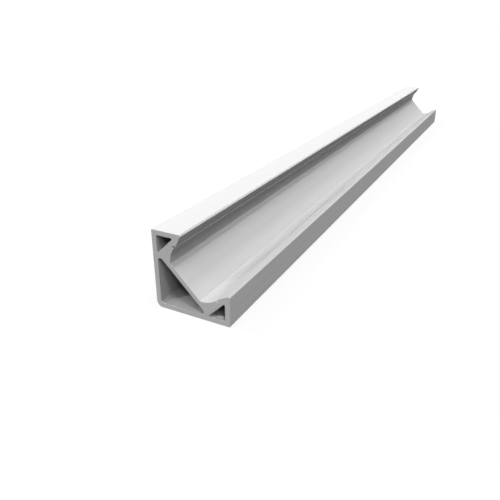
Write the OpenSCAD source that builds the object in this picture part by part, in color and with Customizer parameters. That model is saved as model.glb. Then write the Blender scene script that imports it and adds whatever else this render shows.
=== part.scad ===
/* [Profile] */
// Width of each of the two legs, measured on the outside
leg = 16; // [14:0.5:24]
// Length that the extruded stock is cut to
cut_length = 205; // [20:5:3000]
// Thickness of the two outer walls
wall = 1; // [0.6:0.1:1.5]
// Width of the flat face at the free end of each leg
end_w = 6; // [5:0.25:7]
// Rounding of the outer edge where the legs meet
heel_r = 1.2; // [0.2:0.1:2]
// Rounding of the two free outer edges
edge_r = 0.2; // [0.1:0.05:0.8]

/* [Strip bed] */
// Drop of the bed below the straight line between the two outer edges of the legs
bed_drop = 1.7; // [1.2:0.05:3]
// Width of the strip that is glued on the bed
strip_w = 8; // [6:0.5:10]
// Gap left beside the strip on each side of the bed
strip_gap = 0.3; // [0.1:0.05:0.6]
// Thickness of the web under the bed
web = 0.9; // [0.6:0.1:1.5]

/* [Cover channel] */
// Radius of the curved sides that rise from the bed
flank_r = 4.9; // [3:0.1:12]
// Width of the narrow flat on top of each lip
lip_w = 0.4; // [0.2:0.05:0.8]
// Height of the slanted face of each lip
lip_h = 2.45; // [1.5:0.05:3]
// Distance that each lip reaches inwards from the mouth
lip_reach = 0.75; // [0.3:0.05:1.2]
// Opening of the snap groove under each lip
groove_h = 0.48; // [0.3:0.02:0.8]
// Depth of the snap groove behind the lip's lower edge
groove_d = 0.4; // [0.2:0.05:0.7]
// Drop of the groove from its opening to its back
groove_drop = 0.12; // [0:0.02:0.25]

/* [Hollows] */
// Thickness of the metal between the snap groove and the side hollow
side_web = 1; // [0.6:0.1:1.5]
// Rounding of the two narrow corners of the large hollow
core_tip_r = 0.6; // [0.2:0.1:1]
// Rounding of the square corner of the large hollow
core_heel_r = 0.4; // [0.1:0.1:1]
// Rounding of the corners of the two side hollows
side_r = 0.2; // [0.1:0.05:0.3]

/* [Hidden] */
$fn = 96;

// Heights run along the corner's diagonal from the sharp outer edge, half widths lie across it
crest = (leg + end_w) / sqrt(2);
mouth = (leg - end_w) / sqrt(2) - lip_w;
throat = mouth - lip_reach;
lip_foot = crest - lip_h;
groove_foot = lip_foot - groove_h;
bed = leg / sqrt(2) - bed_drop;
bed_edge = strip_w / 2 + strip_gap;
side_face = throat + groove_d + side_web;
core_leg = sqrt(2) * (bed - web) - 2 * wall;
side_leg = leg - 2 * wall - sqrt(2) * side_face;
hollow_bite = 0.0001;

// Unit vector along v
function unit(v) = v / norm(v);

// Middle of the circle of radius r through a and b, on the left of the way from a to b
function arc_centre(a, b, r) =
    let (half = (b - a) / 2, side = unit([-half.y, half.x]))
    a + half + side * sqrt(r * r - half * half);

// Turns the local axes so that x lies across the corner and y runs out along its diagonal
module on_diagonal() {
    rotate(-45) children();
}

// Convex outline whose corners are rounded, each by its own radius. The bite is added to the
// radii, so that a rounding still meets its sides where the corner isn't a round number.
module rounded_outline(corners, radii, bite = 0) {
    count = len(corners);
    back = [for (i = [0:count - 1]) unit(corners[(i + count - 1) % count] - corners[i])];
    ahead = [for (i = [0:count - 1]) unit(corners[(i + 1) % count] - corners[i])];
    half = [for (i = [0:count - 1]) acos(back[i] * ahead[i]) / 2];
    setback = [for (i = [0:count - 1]) radii[i] / tan(half[i])];
    polygon([for (i = [0:count - 1], way = radii[i] > 0 ? [back[i], ahead[i]] : [[0, 0]])
        corners[i] + way * setback[i]]);
    for (i = [0:count - 1])
        if (radii[i] > 0)
            translate(corners[i] + unit(back[i] + ahead[i]) * radii[i] / sin(half[i]))
                circle(radii[i] + bite);
}

// Outside of the section: a square with the corner opposite the heel cut off along the lips' tops
module outside() {
    rounded_outline(
        [[0, 0], [leg, 0], [leg, end_w], [end_w, leg], [0, leg]],
        [heel_r, edge_r, 0, 0, edge_r]
    );
}

// Bed and the two curved sides that rise from it, up into the snap grooves
module bed_channel() {
    flank = arc_centre([bed_edge, bed], [throat, groove_foot], flank_r);
    intersection() {
        translate([-mouth, bed]) square([2 * mouth, groove_foot + groove_h / 2 - bed]);
        for (side = [-1, 1])
            translate([side * flank.x, flank.y]) circle(flank_r);
    }
}

// Pair of snap grooves under the lips: one slanted slot on each side of the throat
module snap_grooves() {
    for (side = [-1, 1])
        polygon([
            [side * (throat - groove_d), groove_foot + groove_drop],
            [side * (throat + groove_d), groove_foot - groove_drop],
            [side * (throat + groove_d), lip_foot - groove_drop],
            [side * (throat - groove_d), lip_foot + groove_drop]
        ]);
}

// Way in between the lips, on the slope of their slanted faces from the grooves to the open air
module lip_mouth() {
    slope = lip_reach / lip_h;
    polygon([
        [-throat + slope * groove_h, groove_foot],
        [throat - slope * groove_h, groove_foot],
        [mouth + lip_reach, crest + lip_h],
        [-mouth - lip_reach, crest + lip_h]
    ]);
}

// Channel for the strip and the cover, open at both ends
module cover_channel() {
    bed_channel();
    snap_grooves();
    lip_mouth();
}

// Large hollow behind the bed, open at both ends for the end caps' pegs and for wires
module core_hollow() {
    translate([wall, wall])
        rounded_outline(
            [[0, 0], [core_leg, 0], [0, core_leg]],
            [core_heel_r, core_tip_r, core_tip_r],
            hollow_bite
        );
}

// Small hollow in the free end of the lower leg
module side_hollow() {
    translate([leg - wall, wall])
        rounded_outline(
            [[0, 0], [0, side_leg], [-side_leg, 0]],
            [side_r, side_r, side_r],
            hollow_bite
        );
}

// Section of the profile, with the sharp outer edge of the heel at the origin
module section() {
    difference() {
        outside();
        on_diagonal() cover_channel();
        core_hollow();
        side_hollow();
        mirror([1, -1]) side_hollow();
    }
}

// One length of anodised extrusion, lying on its lower leg
module corner_profile() {
    color([0.84, 0.843, 0.846])
        translate([-leg / 2, 0, 0])
            rotate([90, 0, 0])
                linear_extrude(cut_length, center = true) section();
}

corner_profile();
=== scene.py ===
"""Corner profile for LED strip: one sawn length of extruded, silver anodised aluminium."""

import math

import bpy
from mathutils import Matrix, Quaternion, Vector
from mathutils.geometry import delaunay_2d_cdt


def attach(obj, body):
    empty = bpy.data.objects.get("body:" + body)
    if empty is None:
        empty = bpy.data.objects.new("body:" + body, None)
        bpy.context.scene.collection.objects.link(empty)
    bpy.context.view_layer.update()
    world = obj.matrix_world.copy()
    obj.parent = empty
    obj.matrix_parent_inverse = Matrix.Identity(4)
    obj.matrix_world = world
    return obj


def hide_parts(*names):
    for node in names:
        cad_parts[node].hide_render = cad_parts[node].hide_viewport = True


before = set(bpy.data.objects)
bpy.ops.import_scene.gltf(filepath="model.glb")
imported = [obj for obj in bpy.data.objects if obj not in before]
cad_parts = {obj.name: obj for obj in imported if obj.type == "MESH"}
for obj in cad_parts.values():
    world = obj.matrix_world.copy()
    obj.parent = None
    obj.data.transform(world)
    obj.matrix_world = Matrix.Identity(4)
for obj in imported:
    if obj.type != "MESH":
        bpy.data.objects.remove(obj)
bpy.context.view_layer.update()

# Corner profile: one length of aluminium, pressed hot through a die. The die gives the section
# its legs, bed, curved sides, lips, snap grooves and three hollows, and leaves faint lines along
# the length. The bar is etched matt, anodised silver, and sawn square at both ends.

MM = 0.001           # the section's sizes are in millimetres, the mesh is in metres

LEG = 16.0           # width of each leg, measured on the outside
CUT_LENGTH = 205.0
WALL = 1.0           # thickness of the two outer walls
END_W = 6.0          # flat face at the free end of each leg
BED_DROP = 1.7       # from the straight line between the legs' outer edges down to the bed
BED_HALF = 4.3       # half of the strip, and the gap beside it
WEB = 0.9            # metal under the bed
FLANK_R = 4.9        # curved sides that rise from the bed
LIP_W = 0.4          # narrow flat on top of each lip
LIP_H = 2.45         # height of each lip's slanted face
LIP_REACH = 0.75     # how far each lip reaches inwards from the mouth
GROOVE_H = 0.48      # opening of the snap groove under each lip
GROOVE_D = 0.4       # depth of the groove behind the lip's lower edge
GROOVE_DROP = 0.12   # drop of the groove from its opening to its back
SIDE_WEB = 1.0       # metal between the snap groove and the side hollow

HEEL_R = 1.2         # rounding of the outer edge where the legs meet
EDGE_R = 0.2         # free outer edges of the legs
BED_EDGE_R = 0.2     # foot of the curved sides
GROOVE_LIP_R = 0.08  # both edges of the groove's opening
GROOVE_BACK_R = 0.1  # both corners at the back of the groove
MOUTH_R = 0.04       # inner edge on top of each lip
CREST_R = 0.1        # outer edge on top of each lip
CORE_HEEL_R = 0.4    # square corner of the large hollow
CORE_TIP_R = 0.6     # two narrow corners of the large hollow
SIDE_R = 0.2         # corners of the two side hollows

# Heights run along the corner's diagonal from the sharp outer edge, half widths lie across it
ROOT2 = math.sqrt(2)
CREST = (LEG + END_W) / ROOT2
MOUTH = (LEG - END_W) / ROOT2 - LIP_W
THROAT = MOUTH - LIP_REACH
LIP_FOOT = CREST - LIP_H
GROOVE_FOOT = LIP_FOOT - GROOVE_H
BED = LEG / ROOT2 - BED_DROP
CORE_LEG = ROOT2 * (BED - WEB) - 2 * WALL
SIDE_LEG = LEG - 2 * WALL - ROOT2 * (THROAT + GROOVE_D + SIDE_WEB)

FACET_TURN = math.radians(9)    # most that one facet of a rounding turns
LEAST_FACETS = 2                # of a rounding
FLANK_FACETS = 20               # of a curved side


def off_diagonal(u, v):
    """Point of the section from its place across and along the corner's diagonal."""
    return Vector(((u + v) / ROOT2, (v - u) / ROOT2))


def rounded(corners):
    """Outline through (point, radius) corners, each rounded by its own radius."""
    out = []
    for i, (here, radius) in enumerate(corners):
        if radius == 0:
            out.append(here)
            continue
        back = (corners[i - 1][0] - here).normalized()
        ahead = (corners[(i + 1) % len(corners)][0] - here).normalized()
        turn = math.pi - back.angle(ahead)
        half = (math.pi - turn) / 2
        centre = here + (back + ahead).normalized() * radius / math.sin(half)
        first = here + back * radius / math.tan(half) - centre
        last = here + ahead * radius / math.tan(half) - centre
        way = 1 if first.x * last.y - first.y * last.x > 0 else -1
        facets = max(LEAST_FACETS, math.ceil(turn / FACET_TURN))
        for k in range(facets + 1):
            a = way * turn * k / facets
            out.append(centre + Vector((
                first.x * math.cos(a) - first.y * math.sin(a),
                first.x * math.sin(a) + first.y * math.cos(a),
            )))
    return out


def flank():
    """Curved side of the channel, from the bed's edge to the snap groove, across the diagonal."""
    a, b = Vector((BED_HALF, BED)), Vector((THROAT, GROOVE_FOOT))
    half = (b - a) / 2
    side = Vector((-half.y, half.x)).normalized()
    centre = a + half + side * math.sqrt(FLANK_R ** 2 - half.length_squared)
    start = math.atan2(a.y - centre.y, a.x - centre.x)
    end = math.atan2(b.y - centre.y, b.x - centre.x)
    turns = [start + (end - start) * k / FLANK_FACETS for k in range(FLANK_FACETS + 1)]
    return [centre + FLANK_R * Vector((math.cos(t), math.sin(t))) for t in turns]


foot, *curve, groove_edge = flank()
channel_side = [(foot, BED_EDGE_R)] + [(point, 0) for point in curve] + [
    (groove_edge, GROOVE_LIP_R),
    (Vector((THROAT + GROOVE_D, GROOVE_FOOT - GROOVE_DROP)), GROOVE_BACK_R),
    (Vector((THROAT + GROOVE_D, LIP_FOOT - GROOVE_DROP)), GROOVE_BACK_R),
    (Vector((THROAT, LIP_FOOT)), GROOVE_LIP_R),
    (Vector((MOUTH, CREST)), MOUTH_R),
    (Vector((MOUTH + LIP_W, CREST)), CREST_R),
]
outline = rounded(
    [(Vector((0, 0)), HEEL_R), (Vector((LEG, 0)), EDGE_R)]
    + [(off_diagonal(p.x, p.y), r) for p, r in reversed(channel_side)]
    + [(off_diagonal(-p.x, p.y), r) for p, r in channel_side]
    + [(Vector((0, LEG)), EDGE_R)]
)
core_hollow = rounded([
    (Vector((WALL, WALL)), CORE_HEEL_R),
    (Vector((WALL + CORE_LEG, WALL)), CORE_TIP_R),
    (Vector((WALL, WALL + CORE_LEG)), CORE_TIP_R),
])
lower_hollow = rounded([
    (Vector((LEG - WALL, WALL)), SIDE_R),
    (Vector((LEG - WALL, WALL + SIDE_LEG)), SIDE_R),
    (Vector((LEG - WALL - SIDE_LEG, WALL)), SIDE_R),
])
upper_hollow = [Vector((p.y, p.x)) for p in reversed(lower_hollow)]

# The outline runs anticlockwise and the hollows clockwise, so that the metal is on their left
loops = [outline] + [hollow[::-1] for hollow in (core_hollow, lower_hollow, upper_hollow)]

MOST_SHIFT = 2       # a sharp corner moves no further than this many times as far as its sides


def inset(loop, by):
    """The loop moved sideways into the metal, on the left of its way round."""
    out = []
    for i, p in enumerate(loop):
        a = (p - loop[i - 1]).normalized()
        b = (loop[(i + 1) % len(loop)] - p).normalized()
        n = (Vector((-a.y, a.x)) + Vector((-b.y, b.x))).normalized()
        out.append(p + n * by / max(1 / MOST_SHIFT, n.dot(Vector((-a.y, a.x)))))
    return out


HIGHLIGHT_REACH = 0.075          # reach of the painted highlight round the edges of a groove's opening


def on_highlit_edge(a, b):
    """Whether this side of the outline is on an edge of a groove's opening, which gets a painted
    highlight.
    """
    middle = (a + b) / 2
    spot = Vector((abs(middle.x - middle.y), middle.x + middle.y)) / ROOT2
    return min((spot - Vector((THROAT, v))).length for v in (LIP_FOOT, GROOVE_FOOT)) < HIGHLIGHT_REACH


SKIN, SAWN, HIGHLIT_EDGE = range(3)   # places of the three finishes in the mesh's list of materials; the third is a painted highlight on the grooves' edges
DEBURR = 0.03                   # chamfer that deburring leaves round the sawn ends
END = CUT_LENGTH / 2
STATIONS = ((-END, DEBURR), (-END + DEBURR, 0), (END - DEBURR, 0), (END, DEBURR))

verts, faces, finishes = [], [], []
rings = [[] for _ in STATIONS]  # at each station, the vertices of every loop
for loop in loops:
    for station, (y, by) in enumerate(STATIONS):
        rings[station].append([len(verts) + k for k in range(len(loop))])
        for p in (inset(loop, by) if by else loop):
            verts.append(((p.x - LEG / 2) * MM, y * MM, p.y * MM))
    for near, far in zip(rings, rings[1:]):
        for k in range(len(loop)):
            n = (k + 1) % len(loop)
            faces.append((near[-1][k], near[-1][n], far[-1][n], far[-1][k]))
            # sides on the grooves' edges take the lighter material, a painted highlight
            finishes.append(HIGHLIT_EDGE if on_highlit_edge(loop[k], loop[n]) else SKIN)

INSIDE = 1           # the fill keeps the triangles inside the outline, those in hollows too
SAME_PLACE = 1e-7    # points of the fill that are closer than this are one point


def sawn_end(rim, near):
    """Triangles of one sawn end, between the outline and the hollows, all facing outwards."""
    corners = [i for ring in rim for i in ring]
    owner = [r for r, ring in enumerate(rim) for _ in ring]
    flat = [Vector((verts[i][0], verts[i][2])) / MM for i in corners]
    sides, start = [], len(rim[0])
    for ring in rim[1:]:
        sides += [(start + k, start + (k + 1) % len(ring)) for k in range(len(ring))]
        start += len(ring)
    filled = delaunay_2d_cdt(flat, sides, [list(range(len(rim[0])))], INSIDE, SAME_PLACE)
    out = []
    for triangle in filled[2]:
        triangle = [filled[3][i][0] for i in triangle]
        if owner[triangle[0]] > 0 and len({owner[i] for i in triangle}) == 1:
            continue     # all of it is in one hollow
        a, b, c = (flat[i] for i in triangle)
        if ((b - a).cross(c - a) > 0) != near:
            triangle.reverse()
        out.append([corners[i] for i in triangle])
    return out


ends = sawn_end(rings[0], near=True) + sawn_end(rings[-1], near=False)
faces += ends
finishes += [SAWN] * len(ends)

SHARP = math.radians(30)        # an edge that turns more isn't shaded smooth

mesh = bpy.data.meshes.new("corner_profile_skin")
mesh.from_pydata(verts, [], faces)
mesh.validate()
mesh.polygons.foreach_set("use_smooth", [True] * len(mesh.polygons))
mesh.polygons.foreach_set("material_index", finishes)
mesh.set_sharp_from_angle(angle=SHARP)
profile = bpy.data.objects.new("aluminium_corner_profile", mesh)
bpy.context.scene.collection.objects.link(profile)
even = profile.modifiers.new("even_normals", "WEIGHTED_NORMAL")
even.keep_sharp = True


def add(tree, kind, inputs=(), **settings):
    """New node in the tree: its settings, then its inputs, each a value or a node's socket."""
    made = tree.nodes.new(kind)
    for name, value in settings.items():
        setattr(made, name, value)
    for name, value in dict(inputs).items():
        if isinstance(value, bpy.types.NodeSocket):
            tree.links.new(value, made.inputs[name])
        else:
            made.inputs[name].default_value = value
    return made


def group(name, inputs, outputs):
    """Empty node group with number sockets of these names."""
    tree = bpy.data.node_groups.new(name, "ShaderNodeTree")
    for label, value in inputs.items():
        socket = tree.interface.new_socket(label, in_out="INPUT", socket_type="NodeSocketFloat")
        socket.default_value = value
    for label in outputs:
        tree.interface.new_socket(label, in_out="OUTPUT", socket_type="NodeSocketFloat")
    return tree, add(tree, "NodeGroupInput").outputs, add(tree, "NodeGroupOutput").inputs


# Lines that the die draws along the bar: the pattern changes across the section and hardly
# along the length, so it is stretched out along Y.
drawn_lines, given, result = group(
    "drawn_lines", {"Lines per metre": 1000.0, "Drift per metre": 6.0}, ["Lines"])
place = add(drawn_lines, "ShaderNodeTexCoord").outputs["Object"]
stretch = add(drawn_lines, "ShaderNodeCombineXYZ", {
    "X": given["Lines per metre"], "Y": given["Drift per metre"], "Z": given["Lines per metre"]})
drawn_out = add(drawn_lines, "ShaderNodeVectorMath", {0: place, 1: stretch.outputs[0]},
                operation="MULTIPLY")
lines = add(drawn_lines, "ShaderNodeTexNoise",
            {"Vector": drawn_out.outputs[0], "Scale": 1.0, "Detail": 1.5, "Roughness": 0.6})
evened = add(drawn_lines, "ShaderNodeMapRange",
             {"Value": lines.outputs["Fac"], "From Min": 0.28, "From Max": 0.72})
drawn_lines.links.new(evened.outputs["Result"], result["Lines"])

# Fine even tooth that etching leaves on the skin, and that the blade leaves in its marks
metal_tooth, given, result = group("metal_tooth", {"Grains per metre": 9000.0}, ["Tooth"])
place = add(metal_tooth, "ShaderNodeTexCoord").outputs["Object"]
tooth = add(metal_tooth, "ShaderNodeTexNoise", {
    "Vector": place, "Scale": given["Grains per metre"], "Detail": 2.0, "Roughness": 0.55})
metal_tooth.links.new(tooth.outputs["Fac"], result["Tooth"])


def new_finish(name):
    """New material in the mesh's list, as its tree of nodes and its shader."""
    finish = bpy.data.materials.new(name)
    finish.use_nodes = True
    mesh.materials.append(finish)
    return finish.node_tree, finish.node_tree.nodes["Principled BSDF"]


def use(tree, grouped, **values):
    """A group placed in a material, with the material's own values."""
    made = add(tree, "ShaderNodeGroup", node_tree=grouped)
    for label, value in values.items():
        made.inputs[label.replace("_", " ")].default_value = value
    return made.outputs[0]


def math_node(tree, operation, a, b=0.0):
    """Result of one operation on one or two numbers, each a value or a socket."""
    return add(tree, "ShaderNodeMath", {0: a, 1: b}, operation=operation).outputs[0]


def both(tree, a, b, share):
    """Two patterns in one: the first by its share, and the second by the rest."""
    return math_node(tree, "ADD", math_node(tree, "MULTIPLY", a, share),
                     math_node(tree, "MULTIPLY", b, 1 - share))


def spread(tree, value, low, high):
    """The value, from 0 to 1, spread between two numbers."""
    made = add(tree, "ShaderNodeMapRange", {"Value": value, "To Min": low, "To Max": high})
    return made.outputs["Result"]


BOUNCE = 0.3                    # share of its colour that the metal shows to scattered light
COLOUR_A, COLOUR_B = 6, 7       # places of the Mix node's sockets for colour
MIXED_COLOUR = 2


def colour_by(tree, shader, pattern, dark, light):
    """Base colour between two greys, darkened for scattered light, so that shade stays dark."""
    grey = add(tree, "ShaderNodeMix", {
        "Factor": pattern, COLOUR_A: (*dark, 1), COLOUR_B: (*light, 1),
    }, data_type="RGBA").outputs[MIXED_COLOUR]
    path = add(tree, "ShaderNodeLightPath")
    full = spread(tree, path.outputs["Is Camera Ray"], BOUNCE, 1.0)
    shown = add(tree, "ShaderNodeVectorMath", {0: grey, "Scale": full}, operation="SCALE")
    tree.links.new(shown.outputs[0], shader.inputs["Base Color"])


def roughen_by(tree, shader, pattern, low, high):
    """Roughness between two numbers."""
    tree.links.new(spread(tree, pattern, low, high), shader.inputs["Roughness"])


def raise_by(tree, shader, pattern, strength, height):
    """Bumps of this height, in metres."""
    bump = add(tree, "ShaderNodeBump",
               {"Height": pattern, "Strength": strength, "Distance": height})
    tree.links.new(bump.outputs["Normal"], shader.inputs["Normal"])


# Skin: etched and anodised silver. The lines change its tone a little, and the fine ones and the
# tooth its sheen.
tree, shader = new_finish("silver_anodised_skin")
broad = use(tree, drawn_lines, Lines_per_metre=1300.0, Drift_per_metre=1.0)
fine = use(tree, drawn_lines, Lines_per_metre=4200.0, Drift_per_metre=3.0)
tooth = use(tree, metal_tooth, Grains_per_metre=9000.0)
colour_by(tree, shader, both(tree, broad, fine, share=0.4),
          dark=(0.800, 0.801, 0.802), light=(0.878, 0.879, 0.880))
roughen_by(tree, shader, both(tree, fine, tooth, share=0.65), low=0.42, high=0.58)
raise_by(tree, shader, both(tree, fine, tooth, share=0.7), strength=0.35, height=0.000012)
shader.inputs["Metallic"].default_value = 0.06
shader.inputs["IOR"].default_value = 1.4
shader.inputs["Specular IOR Level"].default_value = 0.0

# Sawn ends: bare metal, with the marks of a large round blade across them
BLADE = (-0.085, 0.0, 0.070)    # middle of the blade's disc, seen from the end
ON_CUT = (1.0, 0.0, 1.0)        # takes the place along the bar out of a point
FEED = 0.00028                  # step between two marks
SWAY = 7.0                      # how far uneven feed shifts the marks, in radians
tree, shader = new_finish("sawn_bare_aluminium")
place = add(tree, "ShaderNodeTexCoord").outputs["Object"]
spot = add(tree, "ShaderNodeVectorMath", {0: place, 1: ON_CUT}, operation="MULTIPLY")
reach = add(tree, "ShaderNodeVectorMath", {0: spot.outputs[0], 1: BLADE}, operation="DISTANCE")
sweep = add(tree, "ShaderNodeTexNoise",
            {"Vector": place, "Scale": 260.0, "Detail": 2.0, "Roughness": 0.5})
turns = math_node(tree, "ADD",
                  math_node(tree, "MULTIPLY", reach.outputs["Value"], 2 * math.pi / FEED),
                  math_node(tree, "MULTIPLY", sweep.outputs["Fac"], SWAY))
marks = spread(tree, math_node(tree, "SINE", turns), 0.0, 1.0)
tooth = use(tree, metal_tooth, Grains_per_metre=14000.0)
cut = both(tree, marks, tooth, share=0.6)
colour_by(tree, shader, cut, dark=(0.795, 0.796, 0.797), light=(0.875, 0.876, 0.877))
roughen_by(tree, shader, cut, low=0.34, high=0.50)
raise_by(tree, shader, cut, strength=0.4, height=0.00002)
shader.inputs["Metallic"].default_value = 0.08
shader.inputs["Specular IOR Level"].default_value = 0.2

# Edges of the grooves' openings: a lighter colour as painted highlight where the edges catch
# light, with a smoother, more metallic surface
tree, shader = new_finish("groove_edges_painted_highlight")
fine = use(tree, drawn_lines, Lines_per_metre=5200.0, Drift_per_metre=10.0)
colour_by(tree, shader, fine, dark=(0.850, 0.851, 0.852), light=(0.910, 0.911, 0.912))
roughen_by(tree, shader, fine, low=0.26, high=0.42)
raise_by(tree, shader, fine, strength=0.3, height=0.00001)
shader.inputs["Metallic"].default_value = 0.35

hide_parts("corner_profile")
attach(profile, "root")

# Studio floor: plain white and without an end. It shows white to the camera and in reflections,
# keeps the bar's shadow, and throws little light back, so that faces which look down stay dark.

FLOOR_SIDE = 6.0
FLOOR_DROP = 0.00002            # keeps it clear of the bar's underside
FLOOR_BOUNCE = 0.14             # share of its lamplight that it throws back


def seen(tree):
    """1 for what the camera sees, also in a reflection or through glass, and 0 for the rest."""
    path = add(tree, "ShaderNodeLightPath").outputs
    straight = math_node(tree, "MAXIMUM", path["Is Camera Ray"], path["Is Glossy Ray"])
    return math_node(tree, "MAXIMUM", straight, path["Is Transmission Ray"])


h = FLOOR_SIDE / 2
floor_mesh = bpy.data.meshes.new("floor")
floor_mesh.from_pydata([(-h, -h, 0), (h, -h, 0), (h, h, 0), (-h, h, 0)], [], [(0, 1, 2, 3)])
floor = bpy.data.objects.new("floor", floor_mesh)
floor.location.z = -FLOOR_DROP
bpy.context.scene.collection.objects.link(floor)
floor_finish = bpy.data.materials.new("white_floor")
floor_finish.use_nodes = True
tree = floor_finish.node_tree
tree.nodes.clear()
matt = add(tree, "ShaderNodeBsdfDiffuse", {"Color": (FLOOR_BOUNCE, FLOOR_BOUNCE, FLOOR_BOUNCE, 1)})
lift = math_node(tree, "MULTIPLY", seen(tree), 1 - FLOOR_BOUNCE)
white = add(tree, "ShaderNodeEmission", {"Strength": lift})
lit = add(tree, "ShaderNodeAddShader", {0: matt.outputs[0], 1: white.outputs[0]})
add(tree, "ShaderNodeOutputMaterial", {"Surface": lit.outputs[0]})
floor_mesh.materials.append(floor_finish)

# Studio light: a white room that gives a little light of its own, and far lamps overhead. Each
# lamp lights the faces that look its way, as the photograph shows them.

AMBIENT = 0.06

world = bpy.data.worlds.new("studio")
bpy.context.scene.world = world
world.use_nodes = True
tree = world.node_tree
tree.nodes.clear()
level = spread(tree, seen(tree), AMBIENT, 1.0)
sky = add(tree, "ShaderNodeBackground", {"Color": (1, 1, 1, 1), "Strength": level})
add(tree, "ShaderNodeOutputWorld", {"Surface": sky.outputs[0]})

# Name, degrees that it leans from straight up to +X and to +Y, strength, and width in degrees
LAMPS = (
    ("lamp_a", 24, 0, 0.10, 4),
    ("lamp_b", 15, 0, 0.60, 4),
    ("lamp_c", 11, 0, 0.11, 4),
    ("lamp_d", 6.8, 0, 0.21, 4),
    ("lamp_e", -2.4, 0, 0.11, 4),
    ("lamp_f", -9, 0, 0.35, 4),
    ("lamp_g", -45, 0, 0.42, 4),
    ("lamp_h", -75, 0, 1.0, 4),
    ("lamp_i", 26, -24, 0.62, 10),
    ("lamp_j", 0, -36, 0.11, 12),
    ("lamp_k", -35, -45, 0.54, 6),
    ("lamp_l", 35, -45, 0.12, 6),
    ("lamp_m", 45, -45, 0.19, 12),
    ("lamp_n", -10, 78, 0.6, 6),
)
for name, right, back, strength, width in LAMPS:
    light = bpy.data.lights.new(name, "SUN")
    light.energy = strength
    light.angle = math.radians(width)
    lamp = bpy.data.objects.new(name, light)
    to_lamp = Vector((math.tan(math.radians(right)), math.tan(math.radians(back)), 1))
    lamp.rotation_mode = "QUATERNION"
    lamp.rotation_quaternion = to_lamp.to_track_quat("Z", "Y")
    bpy.context.scene.collection.objects.link(lamp)

# Camera: in front of the near end, to the right and above, turned to look along the bar. Its
# place, its sight and its lens were solved from the photograph's straight edges.

EYE = Vector((46.70, -168.34, 51.68)) * MM
SIGHT = Vector((-0.4210, 0.7989, -0.4296))
ROLL = math.radians(0.07)
LENS, SENSOR = 36.727, 36
NEAREST, FARTHEST = 0.005, 20

camera_data = bpy.data.cameras.new("camera")
camera_data.sensor_width = SENSOR
camera_data.lens = LENS
camera_data.clip_start = NEAREST
camera_data.clip_end = FARTHEST
camera = bpy.data.objects.new("camera", camera_data)
camera.location = EYE
camera.rotation_mode = "QUATERNION"
camera.rotation_quaternion = SIGHT.to_track_quat("-Z", "Y") @ Quaternion((0, 0, 1), ROLL)
bpy.context.scene.collection.objects.link(camera)
bpy.context.scene.camera = camera

bpy.context.scene.view_settings.view_transform = "Standard"
